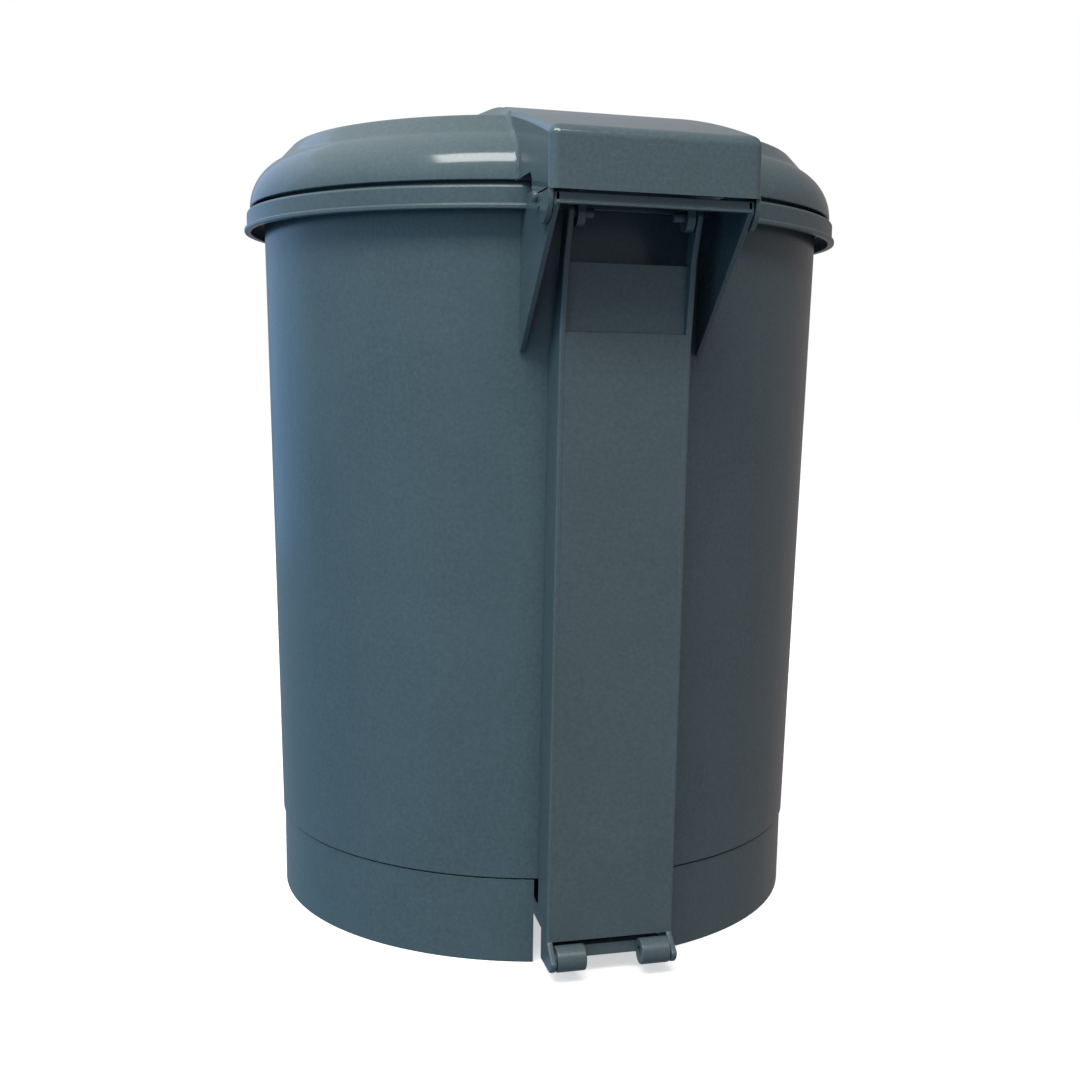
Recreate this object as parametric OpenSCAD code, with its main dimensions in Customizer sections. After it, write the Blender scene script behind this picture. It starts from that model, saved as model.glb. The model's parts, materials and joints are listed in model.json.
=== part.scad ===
// Pedal trash can: a round moulded bucket on a base ring, with a two-tier lid
// hinged on a rear bracket. A lift strap behind the bucket joins the pedal
// lever under the floor to the lugs under the lid's hood.
// Origin: centre of the bucket's axis on the floor. +Z up, pedal towards -Y,
// hinge towards +Y. Millimetres.

/* [Bucket] */
// Height of the top face of the rim
rim_z = 458; // [430:1:500]
// Outer radius of the rim band
rim_r = 199.6; // [175:0.1:225]
// Widening of the bucket, mm of radius per mm of height
bucket_draft = 0.0261; // [0.015:0.0001:0.035]
// Bucket wall thickness
bucket_wall = 2.6; // [2:0.1:3.5]
// Thickness of the bucket floor
floor_t = 3.2; // [2.5:0.1:5]
// How far the rim stands out from the bucket wall
rim_reach = 11.2; // [8:0.1:15]
// Height of the turned-down rim band
rim_h = 13.6; // [10:0.1:18]
// How far the lip under the rim band stands out
lip_out = 1.6; // [0.8:0.1:3]
// Height of that lip
lip_h = 2.8; // [2:0.1:4]

/* [Base ring] */
// Height of the base ring
ring_h = 52; // [48:1:60]
// How far the ring stands inside the bucket's foot
ring_inset = 1.6; // [1:0.1:3]
// Base ring wall thickness
ring_wall = 3; // [2.4:0.1:4]
// Open seam between the ring and the bucket wall
seam = 0.8; // [0.5:0.1:1.5]
// Clearance beside the strap in the ring's rear slot
strap_slot_gap = 1.6; // [1:0.1:4]
// Clearance beside the lever in the ring's front slot
lever_slot_gap = 4; // [2:0.5:8]
// Height of the ring's bridge over the front slot
bridge_h = 5; // [3:0.5:9]
// Clear distance from the strap's slot to the ribs that carry the fulcrum rod
rib_land = 7; // [5:0.5:12]

/* [Lid] */
// Gap between the rim top and the lid edge
lid_gap = 2.5; // [1.5:0.1:4]
// How far the lid edge stands inside the rim
lid_inset = 2.1; // [0:0.1:5]
// Radius of the round shoulder of the lower tier
shoulder_r = 32; // [24:0.5:38]
// How far the raised upper tier stands inside the lid edge
tier_inset = 25.5; // [24:0.5:31]
// Height of the upper tier's edge above the crease at its foot
tier_h = 11.9; // [9:0.1:15]
// Rise of the shallow dome across the upper tier
dome_rise = 9; // [5:0.5:16]
// Lid wall thickness
lid_wall = 2.4; // [1.8:0.1:3.2]

/* [Rear hood] */
// Thickness of the hood's sides
hood_side_t = 2.6; // [2:0.1:3.6]
// Gap between the bracket and each side of the hood
hood_gap = 0.6; // [0.4:0.1:1.5]
// Distance of the hood's rear face behind the hinge
hood_out = 29.3; // [28:0.1:36]
// Height of the hood's lower edge above the hinge
hood_lift = 1; // [0.6:0.1:3]
// Length of the hood's roof, from its ridge to its rear face
roof_length = 131.8; // [120:0.1:150]
// Length of the hood's front slope, from its foot to the ridge
hood_nose = 38; // [30:0.5:46]
// Height of the hood's rear face
hood_face_h = 31.5; // [26:0.5:36]
// Slope of the hood's roof, degrees
hood_slope = 13.8; // [10:0.1:15]
// Crown of the hood's roof between its ridge and its rear edge
roof_crown = 2; // [0:0.1:4]
// Radius of the hood's two upright rear corners
hood_corner = 5; // [3:0.5:5.5]
// Radius of the edge between the hood's roof and its rear face
roof_edge = 4; // [2:0.5:5]

/* [Hinge] */
// Distance of the lid hinge behind the rim
hinge_out = 32.9; // [31:0.1:38]
// Drop of the lid hinge below the rim top
hinge_drop = 12; // [10:0.1:14]
// Radius of the hinge studs on the bracket
stud_r = 3; // [2.5:0.1:4]
// Running clearance of the hinge studs and rod
run_gap = 0.08; // [0.03:0.01:0.1]
// Largest opening of the lid, degrees
lid_open = 68; // [50:1:72]

/* [Bracket] */
// Half width over the two gussets
bracket_half = 54.6; // [51:0.1:62]
// Thickness of each gusset
gusset_t = 3.2; // [2.6:0.1:4.5]
// Drop of the gusset's lower tip below the rim top
gusset_drop = 92; // [70:1:120]
// Height of the rear cross bar
bar_h = 6; // [4:0.5:9]

/* [Lift strap] */
// Half width of the strap
strap_half = 38.4; // [36:0.1:39]
// Thickness of the strap's web and flanges
strap_t = 3.2; // [2.5:0.1:4]
// Drop of the web's top edge below the rim top
web_drop = 81; // [75:1:120]
// Height of the recessed panel above the web
panel_h = 38; // [20:1:44]
// Setback of that panel
panel_set = 2.5; // [1.5:0.1:4]
// Forward offset of the lift pins from the lid hinge
lift_dy = 14; // [12:0.1:16]
// Drop of the lift pins below the lid hinge
lift_dz = 5.5; // [4:0.1:7]
// Radius of the lift pins
lift_pin_r = 2.8; // [2.2:0.1:3.4]
// Clearance around the lift pins in the lugs' slots
lift_gap = 0.6; // [0.55:0.05:0.8]

/* [Pedal lever] */
// Height of the strap's lower pivot
foot_pin_z = 15; // [13:0.5:18]
// Radius of the lever's knuckles
knuckle_r = 7.6; // [6.5:0.1:8.5]
// Radius of the pegs in the knuckles
peg_r = 3.5; // [3:0.1:4.5]
// Distance of the fulcrum rod behind the axis
fulcrum_y = 70; // [50:1:90]
// Height of the fulcrum rod
fulcrum_z = 24; // [22:0.5:27]
// Radius of the steel fulcrum rod
rod_r = 3; // [2.5:0.1:4]
// Half width of the lever
lever_half = 30; // [24:0.5:32]
// Half width of the pedal plate
pedal_half = 48; // [38:1:60]
// How far the pedal's front edge stands out from the ring
pedal_out = 69.8; // [55:0.1:80]
// Height of the pedal's top face above the lever's neck
pedal_rise = 10; // [7:0.5:12]

/* [Hidden] */
$fn = 96;
eps = 0.02;
grey = [0.36, 0.42, 0.44];
dark_grey = [0.30, 0.35, 0.37];
steel = [0.72, 0.73, 0.74];

bucket_r = rim_r - rim_reach - bucket_draft * (rim_z - ring_h);
// Outer radius of the bucket at height z
function body_r(z) = bucket_r + bucket_draft * (z - ring_h);
// Distance behind the axis of the bucket's surface at height z and half width x
function body_y(z, x) = sqrt(pow(body_r(z), 2) - x * x);

wall_low_z = ring_h + seam;
floor_z = ring_h + 4;
rim_low_z = rim_z - rim_h;
rim_round = 2;
mouth_r = body_r(rim_z) - bucket_wall;

ring_r = bucket_r - ring_inset;
boss_inset = 16.2;
boss_ring = ring_r - boss_inset;
boss_r = 4.8;
pilot_r = 1.7;
screw_r = 1.9;
screw_len = 14;
screw_head_r = 4;
screw_head_h = 2.6;
shelf_t = 3;
shelf_drop = 12;
shelf_z = ring_h - shelf_drop;
shelf_in_r = boss_ring - 10;
boss_low_z = shelf_z + shelf_t;

arm_in = strap_half - 3.6;
rear_slot = strap_half + strap_slot_gap;
front_slot = lever_half + lever_slot_gap;
front_slot_h = ring_h - bridge_h;
channel_half = rear_slot + rib_land;
channel_t = 3;
channel_low_z = 8;
collar_gap = 0.6;
collar_t = 3;

lid_low_z = rim_z + lid_gap;
lid_r = rim_r - lid_inset;
tier_r = lid_r - tier_inset;
shoulder_y = lid_r - shoulder_r;
shoulder_z = lid_low_z + 0.5;
crease_r = tier_r + 8;
crease_z = shoulder_z + sqrt(pow(shoulder_r, 2) - pow(crease_r - shoulder_y, 2));
tier_edge_z = crease_z + tier_h;
tier_round = 5;
dome_r = (tier_r * tier_r + dome_rise * dome_rise) / (2 * dome_rise);
rest_rib_inset = 6.5;
rest_rib_r = lid_r - rest_rib_inset;
rest_rib_t = 2;
rest_gap = 0.3;
rest_rib_top_z = shoulder_z
    + sqrt(pow(shoulder_r - lid_wall / 2, 2) - pow(rest_rib_r - shoulder_y, 2));

hinge_y = rim_r + hinge_out;
hinge_z = rim_z - hinge_drop;
hood_y = hinge_y + hood_out;
hood_low_z = hinge_z + hood_lift;
hood_top_z = hood_low_z + hood_face_h;
hood_ridge_y = hood_y - roof_length;
hood_front_y = hood_ridge_y - hood_nose;
crown_y = (hood_y + hood_ridge_y) / 2;
roof_end_slope = atan(tan(hood_slope) + 2 * roof_crown / (hood_y - crown_y));
roof_edge_z = hood_top_z + roof_edge * (tan(roof_end_slope) - 1 / cos(roof_end_slope));
roof_steps = [0.1, 0.25, 0.5, 0.75, 1];
notch_z = lid_low_z + 0.5;
lug_in = bracket_half + hood_gap;
hood_half = lug_in + hood_side_t;
eye_r = stud_r + 3.5;
tongue_y0 = hinge_y + 6.5;
tongue_y1 = hinge_y + 26.5;
tongue_low_z = hinge_z - 15;
tongue_round = 14;
stud_end = 2.6;

lift_y = hinge_y - lift_dy;
lift_z = hinge_z - lift_dz;
lift_reach = sqrt(lift_dy * lift_dy + lift_dz * lift_dz);
// The strap's pins move on a chord while the lugs turn on an arc. The slot
// takes up the height of that arc over its chord.
slot_len = lift_reach * (1 - cos(lid_open / 2)) + 0.2;
slot_dir = atan2(lift_dz, lift_dy);
in_lug_t = 4.6;
in_lug_gap = 1.4;
in_lug_out = arm_in - in_lug_gap;
in_lug_half = lift_pin_r + lift_gap + 4.4;
in_lug_front = lift_y - in_lug_half;
in_lug_rear = lift_y + in_lug_half;

bar_y = hood_y - lid_wall - 1.7;
bar_t = 4;
bar_top_z = hinge_z;
gusset_tip_z = rim_z - gusset_drop;
gusset_top_z = hinge_z + 6.5;
gusset_break_z = bar_top_z - bar_h - 0.5;

strap_gap = 1.6;
strap_rear_y = body_y(foot_pin_z + 8, strap_half) + 27;
strap_low_z = foot_pin_z + 8.6;
foot_pin_y = strap_rear_y + 4;
disc_r = knuckle_r - 0.2;
web_top_z = rim_z - web_drop;
arm_eye_r = lift_pin_r + 3.8;
lift_pin_out = 6.2;
lift_pin_in = in_lug_out - in_lug_t - lift_pin_out;
peg_length = 10.8;
peg_in = arm_in - peg_length;

knuckle_gap = 0.5;
knuckle_length = 17.5;
knuckle_out = arm_in - knuckle_gap;
knuckle_in = knuckle_out - knuckle_length;
hub_r = rod_r + 5;
lever_t = 4;
lever_rear_y = foot_pin_y - knuckle_r - 0.5;
neck_y = -ring_r + 14;
neck_z = fulcrum_z + 13;
slot_y = -ring_r - 2;
slot_z = front_slot_h - 5;
rib_h = 12;
pedal_t = 4;
pedal_lip = 8;
pedal_z = slot_z + pedal_rise;
pedal_reach = ring_r + pedal_out;
pedal_rear_y = -ring_r - 6;
pedal_corner = 12;

rod_half = channel_half + 9;
clip_r = rod_r + 4;
clip_t = 1.4;
clip_bite = 0.05;

// Height of the hood's roof at distance y behind the axis
function roof_z(y) = hood_top_z + (hood_y - y) * tan(hood_slope)
    + roof_crown * (1 - pow((y - crown_y) / (hood_y - crown_y), 2));
// Rear face of the strap's web at height z
function strap_y(z) = strap_rear_y + bucket_draft * (z - strap_low_z);

module ring(r_out, r_in, z0, z1) {
    translate([0, 0, z0]) difference() {
        cylinder(r = r_out, h = z1 - z0);
        translate([0, 0, -1]) cylinder(r = r_in, h = z1 - z0 + 2);
    }
}

// A side profile, drawn in Y and Z, extruded along X from x0 to x1
module side(x0, x1) {
    translate([x0, 0, 0]) rotate([90, 0, 90]) linear_extrude(height = x1 - x0) children();
}

module both_sides() {
    children();
    mirror([1, 0, 0]) children();
}

module rod_x(x0, x1, y, z, r) {
    translate([x0, y, z]) rotate([0, 90, 0]) cylinder(r = r, h = x1 - x0);
}

module bucket_profile() {
    polygon([
        [0, floor_z], [body_r(floor_z) - bucket_wall, floor_z],
        [body_r(wall_low_z) - bucket_wall, wall_low_z], [body_r(wall_low_z), wall_low_z],
        [body_r(rim_z - 4), rim_z - 4], [body_r(rim_z - 3) + 1.5, rim_z - bucket_wall],
        [rim_r - bucket_wall, rim_z - bucket_wall], [rim_r - bucket_wall, rim_low_z],
        [rim_r + lip_out - 0.5, rim_low_z], [rim_r + lip_out, rim_low_z + 0.7],
        [rim_r + lip_out, rim_low_z + lip_h - 0.8], [rim_r, rim_low_z + lip_h],
        [rim_r, rim_z - rim_round],
        for (a = [15 : 15 : 75])
            [rim_r - rim_round + rim_round * cos(a), rim_z - rim_round + rim_round * sin(a)],
        [rim_r - rim_round, rim_z], [mouth_r + 1, rim_z], [mouth_r, rim_z - 1],
        [body_r(floor_z + floor_t) - bucket_wall, floor_z + floor_t], [0, floor_z + floor_t]
    ]);
}

module gusset_profile() {
    polygon([
        [body_y(gusset_tip_z, bracket_half) - 1, gusset_tip_z],
        [body_y(gusset_tip_z, bracket_half) + 3, gusset_tip_z],
        [bar_y, gusset_break_z], [bar_y, bar_top_z],
        [hinge_y + 9, gusset_top_z], [rim_r - 6, gusset_top_z],
        [rim_r - 6, rim_low_z], [body_y(rim_low_z, bracket_half) - 1, rim_low_z]
    ]);
}

module bin_body() {
    color(grey) {
        difference() {
            union() {
                rotate_extrude() bucket_profile();
                for (a = [45 : 90 : 315])
                    rotate([0, 0, a]) translate([boss_ring, 0, boss_low_z])
                        cylinder(r = boss_r, h = floor_z - boss_low_z + 1);
                both_sides() difference() {
                    side(bracket_half - gusset_t, bracket_half) gusset_profile();
                    cylinder(r = mouth_r + 1, h = 2 * rim_z);
                }
                translate([-bracket_half + 1, bar_y - bar_t, bar_top_z - bar_h])
                    cube([2 * bracket_half - 2, bar_t, bar_h]);
                both_sides() rod_x(bracket_half - 1, hood_half + stud_end, hinge_y, hinge_z, stud_r);
            }
            for (a = [45 : 90 : 315])
                rotate([0, 0, a]) translate([boss_ring, 0, boss_low_z - 1])
                    cylinder(r = pilot_r, h = screw_len);
        }
    }
}

module base_ring() {
    color(grey) difference() {
        union() {
            rotate_extrude() polygon([
                [ring_r - ring_wall, 0], [ring_r, 0], [ring_r + 0.6, ring_h],
                [ring_r + 0.6 - ring_wall, ring_h]
            ]);
            ring(ring_r - ring_wall + 1, shelf_in_r, shelf_z, shelf_z + shelf_t);
            ring(body_r(floor_z) - bucket_wall - collar_gap,
                body_r(floor_z) - bucket_wall - collar_gap - collar_t, ring_h - 4, floor_z);
            intersection() {
                both_sides() translate([channel_half, -ring_r, channel_low_z])
                    cube([channel_t, 2 * ring_r, shelf_z + shelf_t - channel_low_z]);
                cylinder(r = ring_r - 1, h = ring_h);
            }
        }
        translate([-rear_slot, 0, -1]) cube([2 * rear_slot, 2 * ring_r, floor_z + 2]);
        translate([-channel_half, -ring_r + 8, -1])
            cube([2 * channel_half, 2 * ring_r - 16, shelf_z + shelf_t + 1 + eps]);
        translate([-front_slot, -2 * ring_r, -1]) cube([2 * front_slot, 2 * ring_r, front_slot_h + 1]);
        rod_x(-channel_half - 9, channel_half + 9, fulcrum_y, fulcrum_z, rod_r + run_gap);
        for (a = [45 : 90 : 315])
            rotate([0, 0, a]) translate([boss_ring, 0, shelf_z - 1])
                cylinder(r = screw_r + 0.3, h = shelf_t + 2);
    }
}

module base_screws() {
    color(steel) for (a = [45 : 90 : 315])
        rotate([0, 0, a]) translate([boss_ring, 0, shelf_z]) {
            translate([0, 0, -screw_head_h]) cylinder(r = screw_head_r, h = screw_head_h);
            cylinder(r = screw_r, h = screw_len);
        }
}

// Points on an arc about (cy, cz), from angle a0 to a1 in n steps
function arc(cy, cz, r, a0, a1, n) =
    [for (k = [0 : n]) let (a = a0 + (a1 - a0) * k / n) [cy + r * cos(a), cz + r * sin(a)]];

// Half section of the lid's solid outer form, drawn t inside its surface
module lid_form(t) {
    crease_a = acos((crease_r - 0.45 * t - shoulder_y) / (shoulder_r - t));
    dome_c = tier_edge_z + dome_rise - dome_r;
    polygon(concat(
        [[0, lid_low_z - t], [lid_r - t, lid_low_z - t]],
        arc(shoulder_y, shoulder_z, shoulder_r - t, 0, crease_a, 14),
        arc(tier_r - tier_round, tier_edge_z - tier_round, tier_round - t, 40, 78, 4),
        [for (k = [1 : 10]) let (x = (tier_r - tier_round - 1) * (1 - k / 10))
            [x, dome_c + sqrt(pow(dome_r - t, 2) - x * x)]]
    ));
}

module hood_outline(t) {
    polygon(concat(
        [[hood_front_y, notch_z], [hood_y - t, notch_z]],
        roof_points(t),
        [[hood_front_y, tier_edge_z - t]]
    ));
}

// The rounded rear edge of the hood and its roof, t inside the surface
function roof_points(t) = concat(
    arc(hood_y - roof_edge, roof_edge_z, roof_edge - t, 0, 90 - roof_end_slope, 4),
    [for (k = roof_steps) let (y = hood_y - k * (hood_y - hood_ridge_y)) [y, roof_z(y) - t]]
);

// Side wall of the hood with the eye and the tongue that hang below it
module hood_side() {
    polygon(concat(
        [[hood_front_y, notch_z], [hinge_y - 16, notch_z], [hinge_y - 12, notch_z - 4],
            [hinge_y - 12, hinge_z]],
        arc(hinge_y, hinge_z, eye_r, 180, 300, 8),
        [[tongue_y0, hinge_z - 5], [tongue_y0, tongue_low_z + 1], [tongue_y0 + 1, tongue_low_z]],
        arc(tongue_y1 - tongue_round, tongue_low_z + tongue_round, tongue_round, -90, 0, 8),
        [[tongue_y1, hood_low_z], [hood_y, hood_low_z]],
        roof_points(0),
        [[hood_front_y, tier_edge_z]]
    ));
}

// Lug that hangs from the hood's roof
module lift_lug() {
    polygon(concat(
        [[in_lug_rear, roof_z(in_lug_rear) - lid_wall / 2],
            [in_lug_front, roof_z(in_lug_front) - lid_wall / 2]],
        arc(lift_y, lift_z, in_lug_half, 180, 360, 12)
    ));
}

// Slot in the lug, along the line from the lift pin to the lid hinge
module lift_slot() {
    translate([lift_y, lift_z]) rotate(slot_dir) polygon(concat(
        arc(0, 0, lift_pin_r + lift_gap, 90, 270, 12),
        arc(slot_len, 0, lift_pin_r + lift_gap, -90, 90, 12)
    ));
}

// What is cut away to round an upright rear corner of the hood
module corner_cut() {
    translate([hood_half - hood_corner, hood_y - hood_corner, tongue_low_z - 1])
        linear_extrude(height = roof_z(hood_ridge_y) - tongue_low_z) difference() {
            square(hood_corner + 1);
            circle(r = hood_corner);
        }
}

module lid() {
    color(grey) {
        difference() {
            union() {
                rotate_extrude() lid_form(0);
                difference() {
                    union() {
                        side(-hood_half + 1, hood_half - 1) hood_outline(0);
                        both_sides() side(lug_in, hood_half) hood_side();
                        translate([-hood_half + 1, hood_y - lid_wall, hood_low_z])
                            cube([2 * hood_half - 2, lid_wall, notch_z - hood_low_z + 1]);
                    }
                    side(-lug_in, lug_in) hood_outline(lid_wall);
                    translate([-lug_in, hood_front_y, hood_low_z - 20])
                        cube([2 * lug_in, hood_y - lid_wall - hood_front_y, notch_z + 21 - hood_low_z]);
                }
                both_sides() side(in_lug_out - in_lug_t, in_lug_out) lift_lug();
            }
            rotate_extrude() lid_form(lid_wall);
            both_sides() corner_cut();
            both_sides() side(in_lug_out - in_lug_t - 1, in_lug_out + 1) lift_slot();
            rod_x(-hood_half - 1, hood_half + 1, hinge_y, hinge_z, stud_r + run_gap);
        }
        ring(rest_rib_r, rest_rib_r - rest_rib_t, rim_z + rest_gap, rest_rib_top_z);
    }
}

module strap_flange() {
    polygon([
        [foot_pin_y, foot_pin_z - disc_r], [foot_pin_y - 20, foot_pin_z - disc_r],
        [foot_pin_y - 20, wall_low_z - 22],
        [body_y(wall_low_z, strap_half) + strap_gap, wall_low_z - 16],
        [body_y(web_top_z, strap_half) + strap_gap, web_top_z - 8],
        [body_y(web_top_z, strap_half) + strap_gap + 8, web_top_z],
        [lift_y - 14, lift_z - 26], [lift_y - arm_eye_r, lift_z],
        [lift_y + arm_eye_r - 1, lift_z], [strap_y(web_top_z) + 7, web_top_z + 40],
        [strap_y(web_top_z), web_top_z - 6], [strap_y(strap_low_z), strap_low_z],
        [foot_pin_y + disc_r, foot_pin_z]
    ]);
    translate([foot_pin_y, foot_pin_z]) circle(r = disc_r);
    translate([lift_y, lift_z]) circle(r = arm_eye_r);
}

module web_profile() {
    polygon([
        [strap_y(strap_low_z) - strap_t, strap_low_z], [strap_y(strap_low_z), strap_low_z],
        [strap_y(web_top_z), web_top_z], [strap_y(web_top_z) - panel_set, web_top_z],
        [strap_y(web_top_z) - panel_set + 3, web_top_z + panel_h],
        [strap_y(web_top_z) - panel_set + 3 - strap_t, web_top_z + panel_h],
        [strap_y(web_top_z) - panel_set - strap_t, web_top_z],
        [strap_y(web_top_z) - panel_set - strap_t, web_top_z - 4],
        [strap_y(web_top_z) - strap_t, web_top_z - 8]
    ]);
}

module lift_strap() {
    color(grey) {
        side(-arm_in - 1, arm_in + 1) web_profile();
        both_sides() side(arm_in, strap_half) strap_flange();
        both_sides() rod_x(lift_pin_in, arm_in + 1, lift_y, lift_z, lift_pin_r);
        both_sides() rod_x(peg_in, arm_in + 1, foot_pin_y, foot_pin_z, peg_r);
    }
}

// Centre line of the lever's plate from the knuckles to the pedal, t thick
module lever_profile(up, down) {
    polygon([
        [lever_rear_y, foot_pin_z + up], [fulcrum_y, fulcrum_z + up],
        [neck_y, neck_z + up], [neck_y, neck_z - down], [fulcrum_y, fulcrum_z - down],
        [lever_rear_y, foot_pin_z - down]
    ]);
}

module pedal_lever() {
    color(dark_grey) difference() {
        union() {
            side(-lever_half, lever_half) lever_profile(lever_t / 2, lever_t / 2);
            both_sides() side(lever_half - 3, lever_half) lever_profile(rib_h / 2 - 1, rib_h / 2);
            side(-knuckle_out + 1, knuckle_out - 1) polygon([
                [lever_rear_y - 12, foot_pin_z - 2], [lever_rear_y + 1, foot_pin_z - 3],
                [lever_rear_y + 1, foot_pin_z + 4], [lever_rear_y - 12, foot_pin_z + 3]
            ]);
            both_sides() {
                rod_x(knuckle_in, knuckle_out, foot_pin_y, foot_pin_z, knuckle_r);
                translate([knuckle_in, lever_rear_y - 1, foot_pin_z - 3])
                    cube([knuckle_out - knuckle_in, knuckle_r, 7]);
            }
            rod_x(-channel_half + 1, channel_half - 1, fulcrum_y, fulcrum_z, hub_r);
            side(-lever_half, lever_half) neck_profile();
            pedal_plate();
        }
        rod_x(-channel_half, channel_half, fulcrum_y, fulcrum_z, rod_r + run_gap);
        both_sides() rod_x(knuckle_in - 1, knuckle_out + 1, foot_pin_y, foot_pin_z, peg_r + run_gap);
    }
}

// The lever's neck passes low through the ring's front slot, then rises to the pedal
module neck_profile() {
    polygon([
        [neck_y + 4, neck_z - lever_t / 2], [neck_y + 4, neck_z + lever_t / 2],
        [slot_y, slot_z], [pedal_rear_y, pedal_z],
        [pedal_rear_y - pedal_t, pedal_z], [pedal_rear_y - pedal_t, pedal_z - pedal_t],
        [slot_y, slot_z - lever_t]
    ]);
}

// Pedal plate with rounded corners and a lip turned down round its edge
module pedal_plate() {
    difference() {
        translate([0, 0, pedal_z - pedal_lip]) linear_extrude(height = pedal_lip) pedal_outline(0);
        translate([0, 0, pedal_z - pedal_lip - 1])
            linear_extrude(height = pedal_lip - pedal_t + 1) pedal_outline(3);
    }
}

module pedal_outline(t) {
    w = pedal_half - t;
    y0 = -pedal_reach + t;
    y1 = pedal_rear_y - t;
    translate([-w, y0 + pedal_corner]) square([2 * w, y1 - y0 - pedal_corner]);
    translate([-w + pedal_corner, y0]) square([2 * (w - pedal_corner), pedal_corner + 1]);
    for (s = [-1, 1]) translate([s * (w - pedal_corner), y0 + pedal_corner]) circle(r = pedal_corner);
}

module fulcrum_rod() {
    color(steel) rod_x(-rod_half, rod_half, fulcrum_y, fulcrum_z, rod_r);
}

module rod_clips() {
    color(steel) both_sides() difference() {
        rod_x(channel_half + channel_t + 0.2, channel_half + channel_t + 0.2 + clip_t,
            fulcrum_y, fulcrum_z, clip_r);
        rod_x(channel_half, rod_half, fulcrum_y, fulcrum_z, rod_r - clip_bite);
    }
}

bin_body();
base_ring();
base_screws();
lid();
lift_strap();
pedal_lever();
fulcrum_rod();
rod_clips();
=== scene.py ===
import json
import math

import bmesh
import bpy
from bpy.props import FloatProperty, FloatVectorProperty, PointerProperty
from mathutils import Matrix, Vector


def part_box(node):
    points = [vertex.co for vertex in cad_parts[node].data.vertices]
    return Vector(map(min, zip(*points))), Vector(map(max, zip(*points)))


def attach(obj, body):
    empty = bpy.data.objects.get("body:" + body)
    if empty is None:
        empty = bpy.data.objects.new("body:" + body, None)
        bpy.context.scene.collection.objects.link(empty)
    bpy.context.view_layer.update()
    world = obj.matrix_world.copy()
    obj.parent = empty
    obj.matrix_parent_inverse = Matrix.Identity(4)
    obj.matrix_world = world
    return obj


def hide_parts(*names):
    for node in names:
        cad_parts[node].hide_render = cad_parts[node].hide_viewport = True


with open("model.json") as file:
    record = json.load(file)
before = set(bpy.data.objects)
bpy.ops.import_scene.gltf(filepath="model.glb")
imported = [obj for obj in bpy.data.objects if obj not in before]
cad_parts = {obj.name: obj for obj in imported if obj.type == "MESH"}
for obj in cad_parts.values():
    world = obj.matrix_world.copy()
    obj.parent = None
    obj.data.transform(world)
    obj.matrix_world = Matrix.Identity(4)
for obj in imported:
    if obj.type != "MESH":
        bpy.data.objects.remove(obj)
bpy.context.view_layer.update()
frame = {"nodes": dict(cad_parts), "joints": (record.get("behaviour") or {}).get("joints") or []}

bl_info = {
    "name": "Pedal bin looks",
    "version": (1, 0, 0),
    "blender": (4, 5, 0),
    "location": "3D View > Sidebar > Pedal bin",
    "description": "Builds the moulded shells, lid, linkage, finishes and studio of a pedal bin",
    "category": "Object",
}

MM = 0.001
TINY = 1e-6


# ---------------------------------------------------------------- sizes, in millimetres

def low(node):
    """Lowest corner of a CAD node."""
    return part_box(node)[0] / MM


def high(node):
    """Highest corner of a CAD node."""
    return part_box(node)[1] / MM


def pivot(joint):
    """Centre of a joint."""
    place = next(j["pos_m"] for j in frame["joints"] if j["name"] == joint)
    return Vector(place) / MM


HINGE = pivot("lid_hinge")
FULCRUM = pivot("pedal_fulcrum")
FOOT = pivot("strap_foot")

# Gap round a turning pin or rod
PLAY = 0.08

# Bucket
RIM_TOP = high("bin_body").z
RIM_BAND = 13.6
LIP_OUT = 1.6
LIP_H = 2.8
RIM_R = high("bin_body").x - LIP_OUT
RIM_REACH = 11.2
BUCKET_WALL = 2.6
DRAFT = 0.0261
FLOOR_Z = high("base_ring").z
FLOOR_T = 3.2
BOSS_CIRCLE = 160
BOSS_R = 4.8
PILOT_R = 1.7

# Base ring
RING_H = FLOOR_Z - 4
RING_INSET = 1.6
RING_WALL = 3
SEAM = 0.8
SHELF_IN = 150
SHELF_LOW = 40
SHELF_TOP = 43
COLLAR_T = 3
RIB_LOW = 8
RIB_T = 3
CHANNEL_HALF = 47
ROD_R = 3

# Lid
LID_R = high("lid").x
LID_LOW = RIM_TOP + 2.5
LID_WALL = 2.4
SHOULDER_R = 32
TIER_R = LID_R - 25.5
TIER_H = 11.9
TIER_ROUND = 5
DOME_RISE = 9
SHOULDER_Y = LID_R - SHOULDER_R
SHOULDER_Z = LID_LOW + 0.5
CREASE_R = TIER_R + 8
CREASE_Z = SHOULDER_Z + math.sqrt(SHOULDER_R ** 2 - (CREASE_R - SHOULDER_Y) ** 2)
TIER_EDGE_Z = CREASE_Z + TIER_H
REST_OUT = LID_R - 6.5
REST_IN = REST_OUT - 2
REST_LOW = RIM_TOP + 0.3

# Hood and the lugs under it
HOOD_HALF = 57.8
HOOD_Y = high("lid").y
HOOD_LOW = RIM_TOP - 11
HOOD_FACE = 31.5
HOOD_SLOPE = math.tan(math.radians(13.8))
ROOF_CROWN = 2
RIDGE_Y = LID_R - 67.5
HOOD_FRONT = LID_R - 105.5
HOOD_GAP = 0.6
HINGE_LUG_R = 6.5
TONGUE_LOW = low("lid").z
TONGUE_REACH = 20
TONGUE_ROUND = 14
LIFT_LUG_R = 7.8
LIFT_LUG_IN = 28.8
LIFT_LUG_OUT = 33.4
SLOT_PLAY = 0.6

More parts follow.
